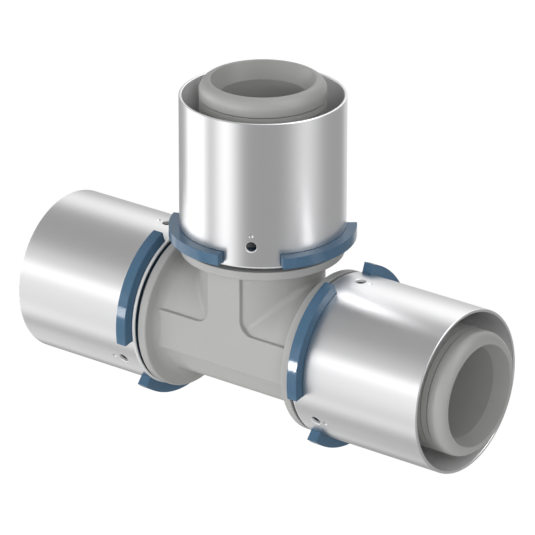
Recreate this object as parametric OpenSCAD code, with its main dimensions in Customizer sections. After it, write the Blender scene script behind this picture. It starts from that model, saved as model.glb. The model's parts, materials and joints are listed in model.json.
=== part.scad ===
// Equal press tee for multilayer composite pipe.
// The run lies along X and the branch points up along Z. The origin is where the three axes cross.
// A one-piece plastic body carries, at each of its three ends, a spigot with two seal rings,
// a stop ring whose three lugs reach out through windows, and a thin steel press sleeve.
// Every end is drawn along +Z from the crossing of the axes and then turned into place.

/* [Pipe] */
// Outside diameter of the pipe that the fitting takes
pipe_d = 50; // [40:0.5:63]
// Wall of that pipe
pipe_wall = 4.5; // [3.5:0.1:5.5]

/* [Body] */
// Wall of the body between the collars
neck_wall = 5; // [4:0.1:7]
// Radius of the soft crease where branch and run meet
crease_round = 2.5; // [1.5:0.25:3.5]
// Width of the T-shaped flat pads on the front and the back
pad_w = 13; // [10:0.5:20]
// How far the pads stand out past the round neck
pad_proud = 0.3; // [0.2:0.1:1.5]
// Radius of the two inner corners of each pad
pad_corner = 4.5; // [1:0.5:6]

/* [Collars] */
// Thickness of the collar that each sleeve ends at
collar_t = 2.9; // [2:0.1:5]
// How much smaller the collar's radius is than the sleeve's
collar_inset = 0.3; // [0.1:0.1:1.5]
// Space kept between the corners of neighbouring collars
collar_clear = 1.1; // [0.6:0.1:6]
// Rounding of the collar's two edges
collar_edge = 0.6; // [0.3:0.1:0.9]
// Radius of the fillet from the neck up to the collar
collar_fillet = 3; // [1:0.5:4]

/* [Spigots] */
// Radial play between a spigot and the inside of the pipe
spigot_play = 0.3; // [0.1:0.05:0.6]
// Wall of the two spigots of the run
run_wall = 5.2; // [4:0.1:7]
// Wall of the branch's spigot, a little thicker so that the branch opens inside the run's bore
branch_wall = 6.2; // [5.8:0.1:8]
// How far a spigot's tip stands out past the mouth of its sleeve
tip_proud = 5.2; // [2:0.1:8]
// Radius of the rounded outer edge of the tip
tip_round = 3.5; // [1.5:0.1:3.6]
// Width of the flat ring between that rounding and the mouth
tip_flat = 0.2; // [0.1:0.1:1]
// Depth of the cone between the mouth and the bore
tip_cone = 5.5; // [3:0.5:9]
// Length of the plain land behind the rounded tip
tip_land = 2; // [0.5:0.25:3]

/* [Gripping teeth] */
// Teeth in each of the two groups on a spigot
tooth_count = 3; // [1:1:4]
// Distance from one tooth to the next
tooth_pitch = 2.4; // [1.8:0.1:3]
// Depth of the teeth
tooth_depth = 0.7; // [0.2:0.05:0.8]

/* [Seal rings] */
// Thickness of a seal ring
seal_d = 2.5; // [2:0.1:3.5]
// How far a seal ring stands out of its groove
seal_proud = 0.15; // [0.05:0.01:0.18]
// How much wider the groove is than its ring
groove_spare = 0.9; // [0.4:0.1:1.5]
// Land between the front teeth and the outer groove
seal_land = 2.2; // [1:0.1:4]
// Plain land between the two grooves
mid_land = 11; // [6:0.5:13]

/* [Press sleeves] */
// Radial play between the pipe and its sleeve
sleeve_play = 0.5; // [0.2:0.1:1]
// Wall of the sleeve
sleeve_wall = 1; // [0.8:0.1:1.5]
// Length of the sleeve
sleeve_length = 48.4; // [47:0.2:70]
// Gap between the sleeve's inner end and the collar
sleeve_gap = 1.4; // [0.2:0.1:2]
// Rounding of the sleeve's edges
sleeve_edge = 0.25; // [0.1:0.05:0.35]
// Diameter of the sight holes that show whether the pipe is home
sight_d = 3.4; // [2:0.1:5]
// Distance from the pipe's stop to the centres of the sight holes
sight_past = 2.6; // [1.8:0.1:6]
// Width of the small punched mark outside each sight hole
mark_d = 1.5; // [0.8:0.1:2]
// Depth of that mark
mark_depth = 0.3; // [0.1:0.05:0.4]
// Distance from the centre of a sight hole to its mark
mark_step = 3.7; // [3:0.1:6]

/* [Stop rings] */
// Lugs on each stop ring
lug_count = 3; // [2:1:4]
// Angle that one lug covers
lug_angle = 80; // [40:1:95]
// Length of a lug along the sleeve
lug_w = 3.7; // [2.5:0.1:4.5]
// How far a lug stands out past the sleeve
lug_proud = 3.4; // [1:0.1:4]
// Rounding of a lug's outer edges
lug_edge = 0.3; // [0.2:0.05:1]
// Distance from the sleeve's inner end to the lugs
lug_at = 1; // [0.8:0.1:3]
// Play round a lug in its window
window_play = 0.15; // [0.1:0.05:0.4]
// Play between the stop ring and the sleeve and spigot, and how far it starts inside the sleeve
ring_play = 0.2; // [0.1:0.05:0.4]
// Width of the catch inside the stop ring, which snaps into a groove in the spigot
catch_w = 1.6; // [1:0.1:2.5]
// Height of that catch
catch_h = 0.7; // [0.4:0.1:1.2]

/* [Hidden] */
$fn = 96;
// Overlap that carries a cut or a joined shape safely through a surface
eps = 0.5;
lug_pitch = 360 / lug_count;

pipe_r = pipe_d / 2;
spigot_r = pipe_r - pipe_wall - spigot_play;
run_bore_r = spigot_r - run_wall;
branch_bore_r = spigot_r - branch_wall;
mouth_r = spigot_r - tip_round - tip_flat;
neck_r = run_bore_r + neck_wall;
sleeve_in_r = pipe_r + sleeve_play;
sleeve_r = sleeve_in_r + sleeve_wall;
collar_r = sleeve_r - collar_inset;

// Stations along an end's axis, measured from the crossing of the axes
collar_back = collar_r + collar_clear;
collar_face = collar_back + collar_t;
sleeve_start = collar_face + sleeve_gap;
sleeve_mouth = sleeve_start + sleeve_length;
tip = sleeve_mouth + tip_proud;
lug_start = sleeve_start + lug_at;
lug_end = lug_start + lug_w;
ring_start = sleeve_start + ring_play;
sight_station = lug_end + sight_past;
mark_station = sight_station + mark_step;
front_teeth = tip - tip_round - tip_land;
teeth_length = tooth_count * tooth_pitch;
groove_w = seal_d + groove_spare;
outer_groove = front_teeth - teeth_length - seal_land - groove_w;
inner_groove = outer_groove - mid_land - groove_w;
rear_teeth = inner_groove - seal_land;
catch_start = (ring_start + lug_end - catch_w) / 2;

groove_r = spigot_r + seal_proud - seal_d;
ring_in_r = spigot_r + ring_play;
ring_out_r = sleeve_in_r - ring_play;
lug_r = sleeve_r + lug_proud;
window_angle = 2 * atan(window_play / sleeve_r);

// Direction of the first lug, from the front towards the top on the run and towards +X on the branch
run_first_lug = 30;
branch_first_lug = 90;

// The crease between run and branch is drawn in steps, and starts this angle away from the side
crease_steps = 32;
arc_steps = 6;
crease_first = 12;
// How far its edges dip below the necks, and how far out its inner edge lies
crease_dip = 0.06;
heel_share = 0.86;

// Turns what is drawn along +Z, with its front on +X, to one of the three ends
module at_left() { rotate([0, -90, 0]) rotate([0, 0, -90]) children(); }
module at_right() { mirror([1, 0, 0]) at_left() children(); }
module at_branch() { rotate([0, 0, -90]) children(); }

// A band from the axis out to radius r, with its two outer corners rounded
module band(r, low, high, edge) {
  translate([0, low]) square([r - edge, high - low]);
  translate([0, low + edge]) square([r, high - low - 2 * edge]);
  for (z = [low + edge, high - edge]) translate([r - edge, z]) circle(edge, $fn = 48);
}

// Saw teeth cut below a cylinder's radius: each rises gently towards the collar and drops at its back
module tooth_cuts(front) {
  for (i = [0 : tooth_count - 1])
    translate([spigot_r, front - i * tooth_pitch])
      polygon([[eps, 0], [-tooth_depth, 0], [0, -tooth_pitch], [eps, -tooth_pitch]]);
}

// Half section of one end of the body: neck, fillet, collar and spigot
module end_section() {
  fillet = min(collar_fillet, collar_r - neck_r - 2 * collar_edge);
  square([neck_r, collar_face]);
  difference() {
    translate([neck_r - eps, collar_back - fillet]) square([fillet + eps, fillet + eps]);
    translate([neck_r + fillet, collar_back - fillet]) circle(fillet);
  }
  band(collar_r, collar_back, collar_face, collar_edge);
  difference() {
    union() {
      square([spigot_r, tip - tip_round]);
      square([spigot_r - tip_round, tip]);
      translate([spigot_r - tip_round, tip - tip_round]) circle(tip_round);
    }
    tooth_cuts(front_teeth);
    tooth_cuts(rear_teeth);
    for (z = [outer_groove, inner_groove]) translate([groove_r, z]) square([seal_d + eps, groove_w]);
    translate([spigot_r - catch_h, catch_start - ring_play])
      square([catch_h + eps, catch_w + 2 * ring_play]);
  }
}

module end_solid() { rotate_extrude() end_section(); }

// Outline of the T-shaped pad, seen from the front
module pad_outline() {
  reach = collar_back + collar_t / 2;
  half = pad_w / 2;
  translate([-reach, -half]) square([2 * reach, pad_w]);
  translate([-half, 0]) square([pad_w, reach]);
  for (side = [0, 1]) mirror([side, 0]) difference() {
    translate([half - eps, half - eps]) square(pad_corner + eps);
    translate([half + pad_corner, half + pad_corner]) circle(pad_corner, $fn = 48);
  }
}

// The soft crease between run and branch: what a ball leaves free as it rolls along both necks.
// At angle a round the branch the ball's centre is at p; it touches the run at one end of the arc
// and the branch at the other. Both ends dip a little below the necks, and the heel is inside them.
function ball(a) =
  let (far = neck_r + crease_round) [far * sin(a), -far * cos(a), far * sin(a)];
function on_arc(a, t) =
  let (
    p = ball(a),
    to_run = [0, cos(a), -sin(a)],
    to_branch = [-sin(a), cos(a), 0],
    w = acos(cos(a) * cos(a))
  ) p + crease_round * (sin((1 - t) * w) * to_run + sin(t * w) * to_branch) / sin(w);
function sunk_run(q) = let (s = 1 - crease_dip / neck_r) [q.x, q.y * s, q.z * s];
function sunk_branch(q) = let (s = 1 - crease_dip / neck_r) [q.x * s, q.y * s, q.z];
function heel(a) = heel_share * neck_r * [sin(a), -cos(a), sin(a)];
function crease_ring(a) = concat(
  [sunk_run(on_arc(a, 0))],
  [for (i = [1 : arc_steps - 1]) on_arc(a, i / arc_steps)],
  [sunk_branch(on_arc(a, 1)), heel(a)]
);
module crease_fill() {
  per = arc_steps + 2;
  step = (180 - 2 * crease_first) / crease_steps;
  points = [for (k = [0 : crease_steps]) each crease_ring(crease_first + k * step)];
  sides = [
    for (k = [0 : crease_steps - 1], i = [0 : per - 1])
      let (j = (i + 1) % per, a = k * per, b = a + per)
        each [[a + i, b + i, b + j], [a + i, b + j, a + j]]
  ];
  caps = [[for (i = [0 : per - 1]) i], [for (i = [per - 1 : -1 : 0]) crease_steps * per + i]];
  polyhedron(points = points, faces = concat(sides, caps), convexity = 6);
}

// The cone that opens a bore out to the mouth in the tip
module tip_cut(bore_r) {
  slope = (mouth_r - bore_r) / tip_cone;
  translate([0, 0, tip - tip_cone])
    cylinder(r1 = bore_r, r2 = mouth_r + slope * eps, h = tip_cone + eps);
}

module tee_body() {
  color([0.68, 0.68, 0.67]) difference() {
    union() {
      at_left() end_solid();
      at_right() end_solid();
      at_branch() end_solid();
      rotate([90, 0, 0]) linear_extrude(2 * (neck_r + pad_proud), center = true) pad_outline();
      crease_fill();
      mirror([1, 0, 0]) crease_fill();
    }
    rotate([0, 90, 0]) cylinder(r = run_bore_r, h = 2 * (tip + eps), center = true);
    cylinder(r = branch_bore_r, h = tip + eps);
    at_left() tip_cut(run_bore_r);
    at_right() tip_cut(run_bore_r);
    at_branch() tip_cut(branch_bore_r);
  }
}

// A press sleeve with its lug windows, sight holes and punched marks
module sleeve(first_lug) {
  color([0.80, 0.81, 0.82]) difference() {
    rotate_extrude() difference() {
      band(sleeve_r, sleeve_start, sleeve_mouth, sleeve_edge);
      translate([0, sleeve_start - eps]) square([sleeve_in_r, sleeve_length + 2 * eps]);
    }
    for (k = [0 : lug_count - 1]) rotate([0, 0, first_lug + k * lug_pitch]) {
      rotate([0, 0, -(lug_angle + window_angle) / 2])
        rotate_extrude(angle = lug_angle + window_angle)
          translate([sleeve_in_r - eps, lug_start - window_play])
            square([sleeve_wall + 2 * eps, lug_w + 2 * window_play]);
      rotate([0, 0, lug_pitch / 2]) {
        translate([sleeve_in_r - eps, 0, sight_station])
          rotate([0, 90, 0]) cylinder(d = sight_d, h = sleeve_wall + 2 * eps);
        punched_mark();
      }
    }
  }
}

// The ball end of the punch that leaves a mark of the given width and depth
module punched_mark() {
  ball_r = (mark_d * mark_d / 4 + mark_depth * mark_depth) / (2 * mark_depth);
  translate([sleeve_r - mark_depth + ball_r, 0, mark_station]) sphere(ball_r, $fn = 48);
}

// A stop ring: a plain ring that the pipe's end meets, its catch, and three lugs
module stop_ring(first_lug) {
  color([0.27, 0.43, 0.58]) union() {
    rotate_extrude() {
      translate([ring_in_r, ring_start]) square([ring_out_r - ring_in_r, lug_end - ring_start]);
      translate([ring_in_r - catch_h, catch_start]) square([catch_h + eps, catch_w]);
    }
    for (k = [0 : lug_count - 1])
      rotate([0, 0, first_lug + k * lug_pitch - lug_angle / 2])
        rotate_extrude(angle = lug_angle) difference() {
          band(lug_r, lug_start, lug_end, lug_edge);
          translate([0, lug_start - eps]) square([ring_in_r + eps, lug_w + 2 * eps]);
        }
  }
}

module seal(groove) {
  color([0.10, 0.10, 0.11]) rotate_extrude()
    translate([groove_r + seal_d / 2, groove + groove_w / 2]) circle(d = seal_d, $fn = 48);
}

tee_body();
at_left() sleeve(run_first_lug);  // sleeve_left
at_right() sleeve(run_first_lug);  // sleeve_right
at_branch() sleeve(branch_first_lug);  // sleeve_branch
at_left() stop_ring(run_first_lug);  // stop_ring_left
at_right() stop_ring(run_first_lug);  // stop_ring_right
at_branch() stop_ring(branch_first_lug);  // stop_ring_branch
at_left() seal(outer_groove);  // seal_left_outer
at_left() seal(inner_groove);  // seal_left_inner
at_right() seal(outer_groove);  // seal_right_outer
at_right() seal(inner_groove);  // seal_right_inner
at_branch() seal(outer_groove);  // seal_branch_outer
at_branch() seal(inner_groove);  // seal_branch_inner
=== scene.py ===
# %% [markdown]
# # A press tee, dressed for its picture
# A press tee joins three plastic-and-metal composite pipes. One moulded grey body carries a ribbed
# spigot at each of its three ends, a blue stop ring snaps on behind each spigot, and a thin steel
# sleeve stands over both. The pipe slides in between spigot and sleeve, and a press tool then closes
# the sleeve on it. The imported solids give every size. Here each piece that shows gets a finer mesh
# and a finish, and nothing is moved.

import json
import math

import bmesh
import bpy
from mathutils import Matrix, Quaternion, Vector

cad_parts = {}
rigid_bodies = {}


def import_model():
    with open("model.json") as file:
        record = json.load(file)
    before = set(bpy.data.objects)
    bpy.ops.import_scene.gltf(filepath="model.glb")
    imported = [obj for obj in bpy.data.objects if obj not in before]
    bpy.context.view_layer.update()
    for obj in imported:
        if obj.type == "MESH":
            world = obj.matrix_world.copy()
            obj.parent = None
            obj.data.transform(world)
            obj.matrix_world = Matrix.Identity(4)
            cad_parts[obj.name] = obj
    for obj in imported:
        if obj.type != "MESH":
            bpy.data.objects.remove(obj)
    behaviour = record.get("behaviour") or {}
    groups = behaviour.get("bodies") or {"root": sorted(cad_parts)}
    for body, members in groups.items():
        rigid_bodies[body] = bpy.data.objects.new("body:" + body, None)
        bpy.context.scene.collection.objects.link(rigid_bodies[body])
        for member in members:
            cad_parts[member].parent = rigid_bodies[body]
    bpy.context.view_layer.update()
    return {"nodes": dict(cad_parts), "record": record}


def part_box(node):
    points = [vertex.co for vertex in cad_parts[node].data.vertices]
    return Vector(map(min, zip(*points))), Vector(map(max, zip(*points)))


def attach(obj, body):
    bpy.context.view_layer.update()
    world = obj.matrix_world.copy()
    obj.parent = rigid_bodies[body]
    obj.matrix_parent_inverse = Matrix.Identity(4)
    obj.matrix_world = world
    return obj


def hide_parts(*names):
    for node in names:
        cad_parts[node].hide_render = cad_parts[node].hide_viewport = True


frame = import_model()
print("packed nodes:", ", ".join(sorted(frame["nodes"])))

# %% [markdown]
# ## Sizes come from the frame
# A dressed piece has to sit exactly where its solid sits. So the stations along an end are read from
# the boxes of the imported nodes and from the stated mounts. Only what no box shows is written here:
# walls, roundings, teeth, the lugs' angles, and where the holes and marks lie.

# %% Read the stations and radii
MM = 0.001
mounts = {mount["name"]: mount for mount in frame["record"]["mounts"]}


def mount_radius(name):
    return mounts[name]["dims"]["r_mm"] * MM


run_bore_r = mount_radius("run_waterway")
branch_bore_r = mount_radius("branch_waterway")
spigot_r = mount_radius("right_spigot")
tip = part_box("tee_body")[1].x
collar_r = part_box("tee_body")[1].y
sleeve_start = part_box("sleeve_right")[0].x
sleeve_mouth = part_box("sleeve_right")[1].x
sleeve_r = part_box("sleeve_right")[1].y
lug_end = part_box("stop_ring_right")[1].x
lug_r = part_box("stop_ring_right")[1].y
seal_boxes = {place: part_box("seal_right_" + place) for place in ("outer", "inner")}
seal_mid = {place: (low.x + high.x) / 2 for place, (low, high) in seal_boxes.items()}
seal_d = seal_boxes["outer"][1].x - seal_boxes["outer"][0].x
groove_r = seal_boxes["outer"][1].y - seal_d
print(f"tip at {tip / MM:.1f} mm, sleeve {sleeve_r / MM:.1f} mm in radius, lugs to {lug_r / MM:.1f} mm")

# %% Sizes that no box shows
neck_wall = 5 * MM
neck_r = run_bore_r + neck_wall
collar_t = 2.9 * MM
sleeve_gap = 1.4 * MM
collar_face = sleeve_start - sleeve_gap
collar_back = collar_face - collar_t
collar_edge = 0.6 * MM
face_edge = 0.25 * MM
collar_fillet = 3 * MM
crease_round = 2.5 * MM
pad_half = 6.5 * MM
pad_proud = 0.3 * MM
pad_face = neck_r + pad_proud
pad_corner = 4.5 * MM
pad_edge = 0.3 * MM
groove_play = 0.9 * MM
groove_w = seal_d + groove_play
tooth_pitch = 2.4 * MM
tooth_depth = 0.55 * MM
tooth_count = 3
relief = 0.35 * MM
seal_land = 2.2 * MM
tip_round = 3.5 * MM
tip_flat = 0.2 * MM
mouth_r = spigot_r - tip_round - tip_flat
lip_round = 0.2 * MM
tip_cone = 5.5 * MM
sleeve_wall = 1 * MM
sleeve_edge = 0.3 * MM
rolled_edge = 0.65 * MM
lug_w = 3.7 * MM
lug_start = lug_end - lug_w
lug_edge = 0.18 * MM
lug_sweep = math.radians(80)
lug_pitch = math.radians(120)
window_play = 0.15 * MM
ring_play = 0.2 * MM
sight_r = 1.7 * MM
sight_past = 2.6 * MM
sight_station = lug_end + sight_past
last_cut = sight_station + sight_r + 0.3 * MM
mark_past = 3.7 * MM
mark_station = sight_station + mark_past
mark_d = 1.5 * MM
mark_depth = 0.3 * MM

# %% [markdown]
# ## The camera
# The picture was taken with a long lens from the right and a little above. The angles and the focal
# length were fitted to the rims of the three sleeves, so the render lines up with the photograph.
# The lens is given through the focal length in pixels, because the frame is 535 pixels wide.

# %% Camera
FRAME_PX = 535
SENSOR_MM = 36
focal_px = 4784.7
camera_az = math.radians(37.83)
camera_el = math.radians(22.95)
camera_roll = math.radians(0.09)
camera_distance = 1522.2 * MM
aim_right = 1.5 * MM
aim_up = 21.0 * MM

to_camera = Vector((
    math.sin(camera_az) * math.cos(camera_el),
    -math.cos(camera_az) * math.cos(camera_el),
    math.sin(camera_el),
))
sideways = Vector((math.cos(camera_az), math.sin(camera_az), 0))
aim = sideways * aim_right + Vector((0, 0, aim_up))

camera = bpy.data.objects.new("camera", bpy.data.cameras.new("camera"))
bpy.context.scene.collection.objects.link(camera)
camera.data.sensor_width = SENSOR_MM
camera.data.lens = focal_px / FRAME_PX * SENSOR_MM
camera.location = aim + to_camera * camera_distance
camera.rotation_mode = "QUATERNION"
level_view = (-to_camera).to_track_quat("-Z", "Y")
camera.rotation_quaternion = level_view @ Quaternion((0, 0, 1), camera_roll)
camera.data.clip_start = 0.1
camera.data.clip_end = 20
bpy.context.scene.camera = camera
print(f"camera: {camera.data.lens:.0f} mm lens, {camera_distance:.2f} m away")

# %% [markdown]
# ## One helper for nodes
# Every material, and the studio round the part, is a small graph. One function adds a node, sets
# its properties and sockets, and links its inputs, so that a graph reads from top to bottom.

# %% Helpers for graphs and colours


def add(tree, kind, values=None, links=None, **settings):
    """Adds a node, with socket values, links into its sockets and its own settings."""
    node = tree.nodes.new(kind)
    for name, value in settings.items():
        setattr(node, name, value)
    for socket, value in (values or {}).items():
        node.inputs[socket].default_value = value
    for socket, source in (links or {}).items():
        tree.links.new(source, node.inputs[socket])
    return node


def linear(hex_colour):
    """An sRGB hex colour as the linear red, green, blue and alpha that a node expects."""
    shares = [int(hex_colour[i:i + 2], 16) / 255 for i in (1, 3, 5)]
    return [s / 12.92 if s <= 0.04045 else ((s + 0.055) / 1.055) ** 2.4 for s in shares] + [1]


# %% [markdown]
# ## The studio
# Steel shows little colour of its own: what the eye reads as steel are the soft boxes and the grey
# gaps between them. The photograph's sleeves show one strong band low at the front left, a broad
# white field to the left, a softer one high at the back, and grey between. The world repeats that
# as a grey tent with soft rectangular lights, whose places and levels were fitted to the bands on
# the three sleeves. Glossy rays see the tent, camera and transmission rays see plain white, and
# all other rays see an even light.

# %% World
world = bpy.data.worlds.new("studio")
bpy.context.scene.world = world
world.use_nodes = True
sky = world.node_tree
sky.nodes.clear()

TENT_GREY = 0.44
AMBIENT = 0.45
# Each soft box: direction and half size in degrees, softness of its edge in degrees, brightness
SOFT_BOXES = {
    "left field": dict(az=-68, el=-6, wide=21, high=35, soft=8, level=1.36),
    "front field": dict(az=-14, el=-9, wide=13, high=21, soft=17, level=1.70),
    "front strip": dict(az=-43, el=10, wide=45, high=6, soft=6, level=1.00),
    "low front": dict(az=-36, el=-51, wide=5, high=12, soft=6, level=1.50),
    "back left": dict(az=-163, el=63, wide=25, high=37, soft=24, level=2.15),
    "low left": dict(az=-101, el=-49, wide=23, high=6, soft=6, level=0.78),
    "right strip": dict(az=98, el=21, wide=15, high=37, soft=23, level=1.70),
    "back right": dict(az=112, el=60, wide=34, high=19, soft=13, level=3.40),
    "behind": dict(az=-163, el=-1, wide=14, high=25, soft=6, level=0.49),
}

place = add(sky, "ShaderNodeTexCoord")
ray = add(sky, "ShaderNodeSeparateXYZ", links={0: place.outputs["Generated"]})
minus_y = add(sky, "ShaderNodeMath", {1: -1}, {0: ray.outputs["Y"]}, operation="MULTIPLY")
azimuth = add(sky, "ShaderNodeMath", links={0: ray.outputs["X"], 1: minus_y.outputs[0]},
              operation="ARCTAN2")
elevation = add(sky, "ShaderNodeMath", links={0: ray.outputs["Z"]}, operation="ARCSINE")


def edge_distance(tree, angle, centre, half):
    """How far an angle lies outside a band, in radians, with the turn wrapped at half a circle."""
    turned = add(tree, "ShaderNodeMath", {1: math.radians(centre)}, {0: angle}, operation="SUBTRACT")
    wrapped = add(tree, "ShaderNodeMath", {1: math.pi, 2: -math.pi}, {0: turned.outputs[0]},
                  operation="WRAP")
    size = add(tree, "ShaderNodeMath", links={0: wrapped.outputs[0]}, operation="ABSOLUTE")
    return add(tree, "ShaderNodeMath", {1: math.radians(half)}, {0: size.outputs[0]},
               operation="SUBTRACT")


def soft_box(tree, az, el, wide, high, soft, level):
    """The light that one soft box gives in each direction."""
    across = edge_distance(tree, azimuth.outputs[0], az, wide)
    upward = edge_distance(tree, elevation.outputs[0], el, high)
    edge = math.radians(soft)
    fade = {"From Min": edge, "From Max": -edge, "To Min": 0, "To Max": level ** 0.5}
    masks = []
    for distance in (across, upward):
        mask = add(tree, "ShaderNodeMapRange", fade, {"Value": distance.outputs[0]},
                   interpolation_type="SMOOTHSTEP")
        masks.append(mask)
    return add(tree, "ShaderNodeMath", links={0: masks[0].outputs[0], 1: masks[1].outputs[0]},
               operation="MULTIPLY")


glow = add(sky, "ShaderNodeValue")
glow.outputs[0].default_value = TENT_GREY
for box in SOFT_BOXES.values():
    one = soft_box(sky, **box)
    glow = add(sky, "ShaderNodeMath", links={0: glow.outputs[0], 1: one.outputs[0]}, operation="ADD")

path = add(sky, "ShaderNodeLightPath")
direct = add(sky, "ShaderNodeMath",
             links={0: path.outputs["Is Camera Ray"], 1: path.outputs["Is Transmission Ray"]},
             operation="MAXIMUM")
even = add(sky, "ShaderNodeMix", {"A": AMBIENT},
           {"Factor": path.outputs["Is Glossy Ray"], "B": glow.outputs[0]})
level = add(sky, "ShaderNodeMix", {"B": 1.0}, {"Factor": direct.outputs[0], "A": even.outputs[0]})
light = add(sky, "ShaderNodeBackground", {"Color": linear("#FFFFFF")}, {"Strength": level.outputs[0]})
add(sky, "ShaderNodeOutputWorld", links={"Surface": light.outputs[0]})
print("soft boxes in the tent:", len(SOFT_BOXES))

# %% [markdown]
# ## Lamps
# The even light models nothing by itself, so a large soft lamp from the front left shapes the grey
# body, and a weaker one beside the camera looks into the mouths. Neither shows in a reflection.
# The dull inner walls of the sleeves get a lamp of their own, and so do the glints on the blue lugs.
# Light linking gives such a lamp its receivers: a collection that names the objects it lights. The
# left ring is seen at another angle than the two others, so its glint lamp stands further left.

# %% Lamps
LAMPS = {
    "key": dict(az=-12, el=3, distance=1.3, size=(0.8, 0.8), watts=7.3, glossy=False),
    "side_fill": dict(az=50, el=24, distance=1.3, size=(0.3, 0.3), watts=2.2, glossy=False),
    "inside_fill": dict(az=46, el=34, distance=1.3, size=(0.5, 0.5), watts=5.5, glossy=False),
    "glint": dict(az=-34.5, el=-4.3, distance=1.5, size=(0.16, 0.25), watts=6.2, glossy=True),
    "left_glint": dict(az=-40.3, el=-4.3, distance=1.5, size=(0.16, 0.25), watts=2.2, glossy=True),
}
glint_aim = Vector((58 * MM, -25 * MM, 9 * MM))


def direction(az, el):
    """A unit vector towards an azimuth and elevation in degrees; azimuth 0 is the front, 90 is +X."""
    a = math.radians(az)
    e = math.radians(el)
    return Vector((math.sin(a) * math.cos(e), -math.cos(a) * math.cos(e), math.sin(e)))


for name, lamp in LAMPS.items():
    data = bpy.data.lights.new(name, "AREA")
    data.shape = "RECTANGLE"
    data.size = lamp["size"][0]
    data.size_y = lamp["size"][1]
    data.energy = lamp["watts"]
    obj = bpy.data.objects.new(name, data)
    bpy.context.scene.collection.objects.link(obj)
    obj.visible_glossy = lamp["glossy"]
    obj.visible_diffuse = not lamp["glossy"]
    towards = direction(lamp["az"], lamp["el"])
    obj.location = glint_aim + towards * lamp["distance"]
    obj.rotation_euler = towards.to_track_quat("Z", "Y").to_euler()
takers = {}
for name in ("inside_fill", "glint", "left_glint"):
    takers[name] = bpy.data.collections.new(name + "_takers")
    bpy.data.objects[name].light_linking.receiver_collection = takers[name]
print("lamps:", ", ".join(LAMPS))

# %% [markdown]
# ## The floor
# A fitting like this is held by its pipes, and the photograph shows it free on white. So the floor
# lies some way below and takes the soft shadow there. It is a pale matt paint. A share of plain
# white is mixed in for the camera alone, a touch over 1 to make up for the paint's grey, so that
# the floor runs into the white background.

# %% Floor
FLOOR_DROP = 0.24
FLOOR_HALF = 6.0
FLOOR_WHITE = 0.85
FLOOR_LIFT = 1.11

bm = bmesh.new()
bmesh.ops.create_grid(bm, x_segments=1, y_segments=1, size=FLOOR_HALF)
bmesh.ops.translate(bm, verts=bm.verts, vec=(0, 0, -FLOOR_DROP))
floor = bpy.data.objects.new("floor", bpy.data.meshes.new("floor"))
bm.to_mesh(floor.data)
bm.free()
bpy.context.scene.collection.objects.link(floor)
floor.visible_glossy = False

paint = bpy.data.materials.new("matt_white_paint")
paint.use_nodes = True
tree = paint.node_tree
tree.nodes.clear()
matt = add(tree, "ShaderNodeBsdfPrincipled", {"Base Color": linear("#F2F2F0"), "Roughness": 0.9})
plain = add(tree, "ShaderNodeEmission", {"Color": linear("#FFFFFF"), "Strength": FLOOR_LIFT})
path = add(tree, "ShaderNodeLightPath")
share = add(tree, "ShaderNodeMath", {1: FLOOR_WHITE}, {0: path.outputs["Is Camera Ray"]},
            operation="MULTIPLY")
mixed = add(tree, "ShaderNodeMixShader",
            links={0: share.outputs[0], 1: matt.outputs[0], 2: plain.outputs[0]})
add(tree, "ShaderNodeOutputMaterial", links={"Surface": mixed.outputs[0]})
floor.data.materials.append(paint)
print(f"floor {FLOOR_DROP:.2f} m below the axis of the run")

# %% [markdown]
# ## Moulded grey polyphenylsulfone
# The body is injection moulded in a grey engineering plastic. The mould's walls are spark eroded,
# which leaves an even satin skin: a broad soft shine, no sharp glints. The colour drifts a little
# with the melt's flow. The grain itself is finer than a pixel, so it is drawn at 0.5 mm and very
# shallow, just enough to break the shine.

# %% Grey plastic
body_grey = bpy.data.materials.new("moulded_polyphenylsulfone_grey")
body_grey.use_nodes = True
tree = body_grey.node_tree
tree.nodes.clear()
FLOW_MM = 14
GRAIN_MM = 0.5
where = add(tree, "ShaderNodeTexCoord")
flow = add(tree, "ShaderNodeTexNoise", {"Scale": 1 / (FLOW_MM * MM), "Detail": 3, "Roughness": 0.5},
           {"Vector": where.outputs["Object"]})
tint = add(tree, "ShaderNodeMix", {"A": linear("#B5B5B4"), "B": linear("#BBBBB9")},
           {"Factor": flow.outputs["Fac"]}, data_type="RGBA")
grain = add(tree, "ShaderNodeTexNoise", {"Scale": 1 / (GRAIN_MM * MM), "Detail": 2, "Roughness": 0.6},
            {"Vector": where.outputs["Object"]})
skin = add(tree, "ShaderNodeMapRange", {"To Min": 0.33, "To Max": 0.43},
           {"Value": grain.outputs["Fac"]})
dents = add(tree, "ShaderNodeBump", {"Strength": 0.25, "Distance": 0.02 * MM},
            {"Height": grain.outputs["Fac"]})
shell = add(tree, "ShaderNodeBsdfPrincipled", {"IOR": 1.5},
            {"Base Color": tint.outputs["Result"], "Roughness": skin.outputs[0],
             "Normal": dents.outputs[0]})
add(tree, "ShaderNodeOutputMaterial", links={"Surface": shell.outputs[0]})
print("made", body_grey.name)

# %% [markdown]
# ## Drawn stainless steel
# The sleeves are cut from thin stainless tube that was drawn and then polished as it turned. Its
# shine is soft, and the turning leaves faint rings round the tube, which spread a highlight a
# little along its length. The rings are a few hundredths of a millimetre apart on the real tube.
# They are drawn 0.35 mm apart, so that they can be seen at all. A branch tube has its rings along
# Z and a run tube along X, so the finish is made once for each axis.

# %% Steel
RING_MM = 0.35
DRIFT_MM = 25


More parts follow.
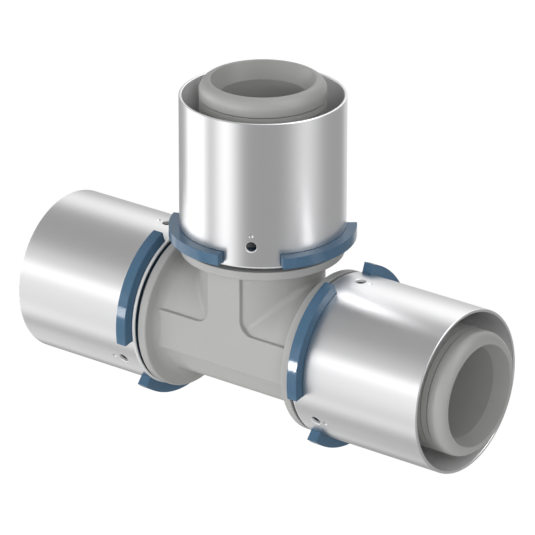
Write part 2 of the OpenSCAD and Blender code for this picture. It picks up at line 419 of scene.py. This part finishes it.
def drawn_stainless(name, axis):
    """Polished stainless tube whose polishing rings lie round the given axis."""
    material = bpy.data.materials.new(name)
    material.use_nodes = True
    tree = material.node_tree
    tree.nodes.clear()
    along = [1 / (RING_MM * MM) if a else 1 / (DRIFT_MM * MM) for a in axis]
    where = add(tree, "ShaderNodeTexCoord")
    stretched = add(tree, "ShaderNodeMapping", {"Scale": along}, {"Vector": where.outputs["Object"]})
    rings = add(tree, "ShaderNodeTexNoise", {"Scale": 1, "Detail": 3, "Roughness": 0.6},
                {"Vector": stretched.outputs[0]})
    round_tube = add(tree, "ShaderNodeVectorMath", {1: axis}, {0: where.outputs["Object"]},
                     operation="CROSS_PRODUCT")
    shine = add(tree, "ShaderNodeMapRange", {"To Min": 0.29, "To Max": 0.33},
                {"Value": rings.outputs["Fac"]})
    scratches = add(tree, "ShaderNodeBump", {"Strength": 0.05, "Distance": 0.01 * MM},
                    {"Height": rings.outputs["Fac"]})
    steel = add(tree, "ShaderNodeBsdfPrincipled",
                {"Base Color": linear("#DEDEDF"), "Metallic": 1, "Anisotropic": 0.4,
                 "Anisotropic Rotation": 0.25},
                {"Roughness": shine.outputs[0], "Normal": scratches.outputs[0],
                 "Tangent": round_tube.outputs[0]})
    add(tree, "ShaderNodeOutputMaterial", links={"Surface": steel.outputs[0]})
    return material


# The tube's inside, its back edge and its cuts keep a dull skin, which the polishing doesn't reach.
# Their pale, partly non-metal base is painted light, which lightens these walls where they lie in shade.
inside_steel_painted_light = bpy.data.materials.new("as_drawn_stainless_and_painted_light")
inside_steel_painted_light.use_nodes = True
tree = inside_steel_painted_light.node_tree
tree.nodes.clear()
SKIN_MM = 1.5
where = add(tree, "ShaderNodeTexCoord")
mottle = add(tree, "ShaderNodeTexNoise", {"Scale": 1 / (SKIN_MM * MM), "Detail": 3, "Roughness": 0.6},
             {"Vector": where.outputs["Object"]})
dull = add(tree, "ShaderNodeMapRange", {"To Min": 0.42, "To Max": 0.54}, {"Value": mottle.outputs["Fac"]})
# Painted light: the pale base with Metallic 0.4 makes the shaded inner walls lighter than steel would be
wall = add(tree, "ShaderNodeBsdfPrincipled", {"Base Color": linear("#EEEEEE"), "Metallic": 0.4},
           {"Roughness": dull.outputs[0]})
add(tree, "ShaderNodeOutputMaterial", links={"Surface": wall.outputs[0]})

run_steel = drawn_stainless("drawn_stainless_run", (1, 0, 0))
branch_steel = drawn_stainless("drawn_stainless_branch", (0, 0, 1))
print("made", run_steel.name, "and", branch_steel.name)

# %% [markdown]
# ## Moulded blue nylon
# The stop rings are moulded in a polished mould, so the lugs carry a clear glint on an even blue.
# The shine is a touch uneven, as nylon's is.

# %% Blue plastic
ring_blue = bpy.data.materials.new("moulded_nylon_blue")
ring_blue.use_nodes = True
tree = ring_blue.node_tree
tree.nodes.clear()
CLOUD_MM = 3
where = add(tree, "ShaderNodeTexCoord")
cloud = add(tree, "ShaderNodeTexNoise", {"Scale": 1 / (CLOUD_MM * MM), "Detail": 2, "Roughness": 0.5},
            {"Vector": where.outputs["Object"]})
tint = add(tree, "ShaderNodeMix", {"A": linear("#4E6F8B"), "B": linear("#557692")},
           {"Factor": cloud.outputs["Fac"]}, data_type="RGBA")
skin = add(tree, "ShaderNodeMapRange", {"To Min": 0.09, "To Max": 0.13}, {"Value": cloud.outputs["Fac"]})
plastic = add(tree, "ShaderNodeBsdfPrincipled", {"IOR": 1.53, "Specular IOR Level": 0.25},
              {"Base Color": tint.outputs["Result"], "Roughness": skin.outputs[0]})
add(tree, "ShaderNodeOutputMaterial", links={"Surface": plastic.outputs[0]})
print("made", ring_blue.name)

# %% [markdown]
# ## Moulded black rubber
# The seal rings are black rubber with a trace of assembly grease, so they are dark with a soft,
# uneven shine. They show only to an eye that looks deep into the gap round a spigot.

# %% Black rubber
seal_black = bpy.data.materials.new("moulded_rubber_black")
seal_black.use_nodes = True
tree = seal_black.node_tree
tree.nodes.clear()
GREASE_MM = 2
where = add(tree, "ShaderNodeTexCoord")
grease = add(tree, "ShaderNodeTexNoise", {"Scale": 1 / (GREASE_MM * MM), "Detail": 2},
             {"Vector": where.outputs["Object"]})
skin = add(tree, "ShaderNodeMapRange", {"To Min": 0.35, "To Max": 0.6}, {"Value": grease.outputs["Fac"]})
tint = add(tree, "ShaderNodeMix", {"A": linear("#191919"), "B": linear("#222223")},
           {"Factor": grease.outputs["Fac"]}, data_type="RGBA")
rubber = add(tree, "ShaderNodeBsdfPrincipled", {"IOR": 1.5},
             {"Base Color": tint.outputs["Result"], "Roughness": skin.outputs[0]})
add(tree, "ShaderNodeOutputMaterial", links={"Surface": rubber.outputs[0]})
print("made", seal_black.name)

# %% [markdown]
# ## Round pieces from half outlines
# Nearly everything on a pipe fitting is turned, or moulded to a turned shape. So a piece starts as
# half an outline, a chain of points that give the distance from the axis and the station along it,
# and the spin operator carries it round. Every end is drawn along +Z with its front on +X, and a
# matrix then lays it on the left, the right or the branch.

# %% Helpers for spun pieces
STEPS = 192
SMOOTH_ANGLE = math.radians(14)
TINY = 1e-6

to_front = Matrix.Rotation(math.radians(-90), 4, "Z")
to_left = Matrix.Rotation(math.radians(-90), 4, "Y") @ to_front
ENDS = {
    "left": to_left,
    "right": Matrix.Scale(-1, 4, (1, 0, 0)) @ to_left,
    "branch": to_front,
}
FIRST_LUG = {"left": math.radians(30), "right": math.radians(30), "branch": math.radians(90)}


def arc(centre_r, centre_z, radius, start, end, steps=8):
    """Points on a round corner of an outline, from one angle to another in degrees."""
    angles = [math.radians(start + (end - start) * i / steps) for i in range(steps + 1)]
    return [(centre_r + radius * math.cos(a), centre_z + radius * math.sin(a)) for a in angles]


def spin_outline(bm, outline, closed=False, start=0, sweep=2 * math.pi, steps=STEPS):
    """Spins an outline round +Z. A part turn is capped at both ends."""
    turn = Matrix.Rotation(start, 3, "Z")
    verts = [bm.verts.new(turn @ Vector((r, 0, z))) for r, z in outline]
    pairs = list(zip(verts, verts[1:]))
    if closed:
        pairs.append((verts[-1], verts[0]))
    edges = [bm.edges.new(pair) for pair in pairs]
    whole = sweep > 2 * math.pi - TINY
    bmesh.ops.spin(bm, geom=verts + edges, cent=(0, 0, 0), axis=(0, 0, 1), angle=sweep, steps=steps,
                   use_merge=whole, use_duplicate=False)
    bmesh.ops.remove_doubles(bm, verts=bm.verts, dist=TINY)
    if not whole:
        open_edges = [edge for edge in bm.edges if edge.is_boundary]
        bmesh.ops.edgeloop_fill(bm, edges=open_edges)


def solid(name, bm, matrix=Matrix.Identity(4)):
    """Turns a bmesh into an object whose place is in its mesh and whose faces point outwards."""
    bmesh.ops.transform(bm, matrix=matrix, verts=bm.verts)
    bmesh.ops.recalc_face_normals(bm, faces=bm.faces)
    obj = bpy.data.objects.new(name, bpy.data.meshes.new(name))
    bm.to_mesh(obj.data)
    bm.free()
    bpy.context.scene.collection.objects.link(obj)
    return obj


def combine(obj, other, operation):
    """Joins or cuts with an exact boolean, applies it and removes the other object."""
    modifier = obj.modifiers.new(operation.lower(), "BOOLEAN")
    modifier.operation = operation
    modifier.solver = "EXACT"
    modifier.object = other
    graph = bpy.context.evaluated_depsgraph_get()
    made = bpy.data.meshes.new_from_object(obj.evaluated_get(graph))
    obj.modifiers.clear()
    obj.data = made
    bpy.data.objects.remove(other)


def smooth(obj, material):
    """Smooth faces with true edges kept, normals weighted by area, and the finish on the piece."""
    obj.data.shade_smooth()
    obj.data.set_sharp_from_angle(angle=SMOOTH_ANGLE)
    weigh = obj.modifiers.new("weighted_normals", "WEIGHTED_NORMAL")
    weigh.keep_sharp = True
    obj.data.materials.clear()
    obj.data.materials.append(material)


# %% [markdown]
# ## The body's necks and their crease
# Run and branch have necks of one radius. Cut at one height above the front, both necks show as
# straight lines that meet at a right angle, and the mould's crease rounds that corner. At angle a
# from the front the corner lies neck_r * sin(a) out, and the rounding there is crease_round *
# sin(a): nothing at the front, full at the side. So a grid is laid over one quarter of the saddle,
# each of its rows is put on its own rounded corner, and two mirrors make the other quarters.

# %% Necks
QUARTER = STEPS // 4
FLAT_STEPS = 8
CREASE_STEPS = 10
neck_end = collar_back - collar_fillet
row_length = 2 * FLAT_STEPS + CREASE_STEPS


def along_row(i, corner, rounding):
    """Place (x, z) of step i on the way from the run's collar, round the corner, to the branch's."""
    turn_start = corner + rounding
    if i <= FLAT_STEPS:
        share = i / FLAT_STEPS
        return neck_end + (turn_start - neck_end) * share, corner
    if i >= FLAT_STEPS + CREASE_STEPS:
        share = (i - FLAT_STEPS - CREASE_STEPS) / FLAT_STEPS
        return corner, turn_start + (neck_end - turn_start) * share
    t = math.pi / 2 * (i - FLAT_STEPS) / CREASE_STEPS
    return turn_start - rounding * math.sin(t), turn_start - rounding * math.cos(t)


body_bm = bmesh.new()
bmesh.ops.create_grid(body_bm, x_segments=row_length, y_segments=QUARTER, size=1)
for vert in body_bm.verts:
    i = round((vert.co.x + 1) / 2 * row_length)
    a = math.pi / 2 * (vert.co.y + 1) / 2
    x, z = along_row(i, neck_r * math.sin(a), crease_round * math.sin(a))
    vert.co = (x, -neck_r * math.cos(a), z)
quarter = body_bm.verts[:] + body_bm.edges[:] + body_bm.faces[:]
bmesh.ops.mirror(body_bm, geom=quarter, axis="X", merge_dist=TINY)
half = body_bm.verts[:] + body_bm.edges[:] + body_bm.faces[:]
bmesh.ops.mirror(body_bm, geom=half, axis="Y", merge_dist=TINY)

under_bm = bmesh.new()
stations = [neck_end * i / FLAT_STEPS for i in range(-FLAT_STEPS, FLAT_STEPS + 1)]
line = [under_bm.verts.new((x, -neck_r, 0)) for x in stations]
for pair in zip(line, line[1:]):
    under_bm.edges.new(pair)
bmesh.ops.spin(under_bm, geom=under_bm.verts[:] + under_bm.edges[:], cent=(0, 0, 0), axis=(1, 0, 0),
               angle=math.pi, steps=2 * QUARTER, use_merge=False, use_duplicate=False)
under = bpy.data.meshes.new("under")
under_bm.to_mesh(under)
under_bm.free()
body_bm.from_mesh(under)
bpy.data.meshes.remove(under)
bmesh.ops.remove_doubles(body_bm, verts=body_bm.verts, dist=TINY)
print("necks:", len(body_bm.faces), "faces")

# %% [markdown]
# ## The collars and spigots
# One outline serves all three ends: fillet, collar, spigot with its two groups of gripping teeth
# and two seal grooves, and the round nose. A tooth climbs gently towards the collar and drops
# behind, so that a pipe goes on easily and doesn't come off. A narrow notch at the foot of each
# tooth draws the thin dark lines that show in the mouths.

# %% Ends of the body


def teeth(front):
    """Outline points of one group of teeth, from the collar's side to the tip's."""
    points = []
    floor_r = spigot_r - tooth_depth
    for k in range(tooth_count - 1, -1, -1):
        crest = front - (k + 1) * tooth_pitch
        foot = crest + tooth_pitch
        points += [(spigot_r, crest), (floor_r + relief, foot - relief),
                   (floor_r - relief, foot - relief), (floor_r - relief, foot)]
    return points + [(spigot_r, front)]


def groove(mid):
    """Outline points of one seal groove."""
    return [(spigot_r, mid - groove_w / 2), (groove_r, mid - groove_w / 2),
            (groove_r, mid + groove_w / 2), (spigot_r, mid + groove_w / 2)]


rear_teeth = seal_mid["inner"] - groove_w / 2 - seal_land
front_teeth = seal_mid["outer"] + groove_w / 2 + seal_land + tooth_count * tooth_pitch
end_outline = (
    [(neck_r, neck_end)]
    + arc(neck_r + collar_fillet, neck_end, collar_fillet, 180, 90, 10)
    + arc(collar_r - collar_edge, collar_back + collar_edge, collar_edge, 270, 360)
    + arc(collar_r - face_edge, collar_face - face_edge, face_edge, 0, 90)
    + [(spigot_r, collar_face)]
    + teeth(rear_teeth)
    + groove(seal_mid["inner"])
    + groove(seal_mid["outer"])
    + teeth(front_teeth)
    + arc(spigot_r - tip_round, tip - tip_round, tip_round, 0, 90, 14)
    + [(0, tip)]
)
for matrix in ENDS.values():
    end_bm = bmesh.new()
    spin_outline(end_bm, end_outline)
    bmesh.ops.transform(end_bm, matrix=matrix, verts=end_bm.verts)
    end_mesh = bpy.data.meshes.new("end")
    end_bm.to_mesh(end_mesh)
    end_bm.free()
    body_bm.from_mesh(end_mesh)
    bpy.data.meshes.remove(end_mesh)
bmesh.ops.remove_doubles(body_bm, verts=body_bm.verts, dist=5 * TINY)
loose = sum(1 for edge in body_bm.edges if not edge.is_manifold)
body = solid("moulded_body", body_bm)
print("body shell:", len(body.data.polygons), "faces,", loose, "open edges")

# %% [markdown]
# ## The flat pads
# Front and back carry a flat T-shaped pad, where the mould's halves take hold of the part. It is
# an outline with two rounded inner corners, drawn out into a slab and bevelled round its face, and
# an exact boolean joins it to the necks.

# %% Pads
PAD_ROOT = 6 * MM
pad_reach = collar_back + collar_t / 2


def pad_outline():
    """The T's corners, from its lower left round to its upper left, as (x, z)."""
    inner = pad_half + pad_corner
    right = [(pad_reach, -pad_half), (pad_reach, pad_half)]
    right += arc(inner, inner, pad_corner, 270, 180, 10)
    right += [(pad_half, pad_reach)]
    left = [(-x, z) for x, z in reversed(right)]
    return right + left


for side in (-1, 1):
    bm = bmesh.new()
    verts = [bm.verts.new((x, side * (neck_r - PAD_ROOT), z)) for x, z in pad_outline()]
    face = bm.faces.new(verts)
    drawn = bmesh.ops.extrude_face_region(bm, geom=[face])
    moved = [item for item in drawn["geom"] if isinstance(item, bmesh.types.BMVert)]
    bmesh.ops.translate(bm, verts=moved, vec=(0, side * (pad_face - neck_r + PAD_ROOT), 0))
    rim = [edge for edge in bm.edges if all(abs(v.co.y) > pad_face - TINY for v in edge.verts)]
    bmesh.ops.bevel(bm, geom=rim, offset=pad_edge, segments=8, profile=0.5, affect="EDGES",
                    material=-1, offset_type="OFFSET")
    combine(body, solid("pad", bm), "UNION")
print("body with pads:", len(body.data.polygons), "faces")

# %% [markdown]
# ## The waterways
# Two cutters open the body: one along the run and one down the branch. Each ends in a cone and a
# small rounded lip, which is the bright ring that the photograph shows in the right-hand mouth.

# %% Bores
CUT_PAST = 2 * MM


def mouth(bore_r):
    """Outline points of a bore's mouth, from the bore outwards past the tip."""
    return ([(bore_r, tip - tip_cone)]
            + arc(mouth_r + lip_round, tip - lip_round, lip_round, 170, 90)
            + [(mouth_r + lip_round, tip + CUT_PAST), (0, tip + CUT_PAST)])


run_mouth = mouth(run_bore_r)
bm = bmesh.new()
spin_outline(bm, [(r, -z) for r, z in reversed(run_mouth)] + run_mouth)
combine(body, solid("run_cutter", bm, ENDS["right"]), "DIFFERENCE")
bm = bmesh.new()
spin_outline(bm, [(0, 0), (branch_bore_r, 0)] + mouth(branch_bore_r))
combine(body, solid("branch_cutter", bm), "DIFFERENCE")
smooth(body, body_grey)
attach(body, "root")
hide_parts("tee_body")
print("bored body:", len(body.data.polygons), "faces")

# %% [markdown]
# ## Press sleeves
# A sleeve is a short tube with broken edges, rounder at the end beside the collar, where the
# photograph shows a light line. Three windows let the stop ring's lugs out, a sight hole between
# each two shows whether the pipe is home, and a punched mark stands beside each hole. They are cut
# with booleans. A cut leaves odd faces on the tube, so its corner normals are then set straight out
# from the axis, and the reflections run on undisturbed.

# %% Sleeve cutters
WINDOW_STEPS = 40
HOLE_STEPS = 48
SIDE_ON = 0.999


def window_cutter(middle):
    """A block that follows the tube's wall, a little larger than a lug."""
    bm = bmesh.new()
    low = lug_start - window_play
    high = lug_end + window_play
    inner = sleeve_r - sleeve_wall - MM
    outline = [(inner, low), (sleeve_r + MM, low), (sleeve_r + MM, high), (inner, high)]
    sweep = lug_sweep + 2 * math.atan(window_play / sleeve_r)
    spin_outline(bm, outline, closed=True, start=middle - sweep / 2, sweep=sweep, steps=WINDOW_STEPS)
    return solid("window", bm)


def hole_cutter(middle):
    """A drill with a flared collar, which leaves a small broken edge round the sight hole."""
    bm = bmesh.new()
    flare = 0.2 * MM
    outline = [(0, sleeve_r - sleeve_wall - MM), (sight_r, sleeve_r - sleeve_wall - MM),
               (sight_r, sleeve_r - flare), (sight_r + flare + MM, sleeve_r + MM), (0, sleeve_r + MM)]
    spin_outline(bm, outline, steps=HOLE_STEPS)
    lay = Matrix.Translation((0, 0, sight_station)) @ Matrix.Rotation(middle, 4, "Z")
    return solid("hole", bm, lay @ Matrix.Rotation(math.radians(90), 4, "Y"))


def mark_cutter(middle):
    """The round end of a punch."""
    bm = bmesh.new()
    punch_r = (mark_d ** 2 / 4 + mark_depth ** 2) / (2 * mark_depth)
    bmesh.ops.create_uvsphere(bm, u_segments=HOLE_STEPS, v_segments=HOLE_STEPS // 2, radius=punch_r)
    out = sleeve_r - mark_depth + punch_r
    lay = Matrix.Rotation(middle, 4, "Z") @ Matrix.Translation((out, 0, mark_station))
    return solid("mark", bm, lay)


def straighten(obj, axis):
    """Sets a tube's corner normals straight out from its axis, and gives its inside and cuts the dull
    skin with painted light.
    """
    mesh = obj.data
    normals = [Vector(corner.vector) for corner in mesh.corner_normals]
    for face in mesh.polygons:
        out = face.center - axis * face.center.dot(axis)
        out.normalize()
        sense = face.normal.dot(out)
        if abs(sense) < SIDE_ON:
            if abs(face.center.dot(axis)) < last_cut:
                face.material_index = 1
            continue
        for index in face.loop_indices:
            place = mesh.vertices[mesh.loops[index].vertex_index].co
            radial = (place - axis * place.dot(axis)).normalized()
            normals[index] = radial if sense > 0 else -radial
        if sense < 0:
            face.material_index = 1
    mesh.normals_split_custom_set([tuple(normal) for normal in normals])


# %% Sleeves
sleeve_in_r = sleeve_r - sleeve_wall
sleeve_outline = (
    arc(sleeve_in_r + sleeve_edge, sleeve_start + sleeve_edge, sleeve_edge, 180, 270)
    + arc(sleeve_r - rolled_edge, sleeve_start + rolled_edge, rolled_edge, 270, 360)
    + arc(sleeve_r - sleeve_edge, sleeve_mouth - sleeve_edge, sleeve_edge, 0, 90)
    + arc(sleeve_in_r + sleeve_edge, sleeve_mouth - sleeve_edge, sleeve_edge, 90, 180)
)
AXES = {"left": Vector((1, 0, 0)), "right": Vector((1, 0, 0)), "branch": Vector((0, 0, 1))}
for end, matrix in ENDS.items():
    bm = bmesh.new()
    spin_outline(bm, sleeve_outline, closed=True)
    sleeve = solid("press_sleeve_" + end, bm)
    for k in range(3):
        lug_middle = FIRST_LUG[end] + k * lug_pitch
        gap_middle = lug_middle + lug_pitch / 2
        for cutter in (window_cutter(lug_middle), hole_cutter(gap_middle), mark_cutter(gap_middle)):
            combine(sleeve, cutter, "DIFFERENCE")
    bm = bmesh.new()
    bm.from_mesh(sleeve.data)
    bmesh.ops.transform(bm, matrix=matrix, verts=bm.verts)
    bmesh.ops.recalc_face_normals(bm, faces=bm.faces)
    bm.to_mesh(sleeve.data)
    bm.free()
    sleeve.data.shade_smooth()
    sleeve.data.set_sharp_from_angle(angle=SMOOTH_ANGLE)
    sleeve.data.materials.clear()
    sleeve.data.materials.append(branch_steel if end == "branch" else run_steel)
    sleeve.data.materials.append(inside_steel_painted_light)
    straighten(sleeve, AXES[end])
    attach(sleeve, "root")
    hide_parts("sleeve_" + end)
    takers["inside_fill"].objects.link(sleeve)
    print(sleeve.name, len(sleeve.data.polygons), "faces")

# %% [markdown]
# ## Stop rings
# The ring that the pipe's end meets is plain and hidden. It is drawn as a thin web on the lugs' side
# towards the mouth, because the gap beside the collar shows no blue. The three lugs show: each is a
# short arc of rectangular section. The section is spun through the lug's angle and capped, and every
# edge outside the sleeve is bevelled, which catches the thin lines of light in the photograph.

# %% Stop rings
LUG_STEPS = 44
ring_in_r = spigot_r + ring_play
ring_out_r = sleeve_in_r - ring_play
LUG_ROOT = 1 * MM
WEB = 1.7 * MM
web_start = lug_end - WEB
for end, matrix in ENDS.items():
    bm = bmesh.new()
    web = [(ring_in_r, web_start), (ring_out_r, web_start), (ring_out_r, lug_end), (ring_in_r, lug_end)]
    spin_outline(bm, web, closed=True)
    ring = solid("stop_ring_" + end + "_dressed", bm)
    for k in range(3):
        bm = bmesh.new()
        root = ring_out_r - LUG_ROOT
        section = [(root, lug_start), (lug_r, lug_start), (lug_r, lug_end), (root, lug_end)]
        start = FIRST_LUG[end] + k * lug_pitch - lug_sweep / 2
        spin_outline(bm, section, closed=True, start=start, sweep=lug_sweep, steps=LUG_STEPS)
        bmesh.ops.recalc_face_normals(bm, faces=bm.faces)
        crisp = [edge for edge in bm.edges
                 if edge.calc_face_angle(0) > SMOOTH_ANGLE
                 and max(v.co.xy.length for v in edge.verts) > ring_out_r]
        bmesh.ops.bevel(bm, geom=crisp, offset=lug_edge, segments=8, profile=0.5, affect="EDGES",
                        material=-1, offset_type="OFFSET")
        combine(ring, solid("lug", bm), "UNION")
    bm = bmesh.new()
    bm.from_mesh(ring.data)
    bmesh.ops.transform(bm, matrix=matrix, verts=bm.verts)
    bmesh.ops.recalc_face_normals(bm, faces=bm.faces)
    bm.to_mesh(ring.data)
    bm.free()
    smooth(ring, ring_blue)
    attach(ring, "root")
    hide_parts("stop_ring_" + end)
    takers["left_glint" if end == "left" else "glint"].objects.link(ring)
    print(ring.name, len(ring.data.polygons), "faces")

# %% [markdown]
# ## Seal rings
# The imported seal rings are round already, so they stay and only take the rubber.

# %% Seals
for name, node in frame["nodes"].items():
    if name.startswith("seal_"):
        for slot in node.material_slots:
            slot.material = seal_black
print("rubber on", sum(1 for name in frame["nodes"] if name.startswith("seal_")), "rings")

# %% [markdown]
# ## The view transform
# The colours leave as they are written, so the view transform is Standard.

# %% Finish
bpy.context.scene.view_settings.view_transform = "Standard"
